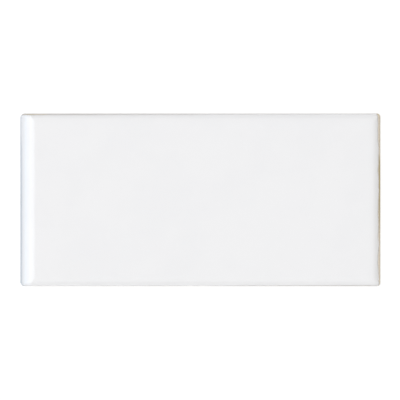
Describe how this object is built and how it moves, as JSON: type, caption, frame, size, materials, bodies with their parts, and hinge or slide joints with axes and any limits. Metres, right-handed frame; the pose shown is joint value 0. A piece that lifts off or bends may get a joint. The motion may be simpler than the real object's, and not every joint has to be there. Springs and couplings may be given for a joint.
{
  "type": "ceramic bullnose tile",
  "caption": "Rectangular white glazed wall tile: a short edge rolls over as a bullnose, the other edges are softly cushioned, and the bare back is keyed for adhesive.",
  "frame": {"origin": "middle of the tile's length and width, on the plane of the back's rim and ribs", "axes": "+X along the length, from the bullnose to the butt end; +Y across the width; +Z out of the glazed face"},
  "size_m": [0.1524, 0.0732, 0.0079],
  "materials": {
    "white_glaze": "gloss"
  },
  "bodies": {
    "root": {"bullnose_tile": "white_glaze"}
  },
  "joints": []
}
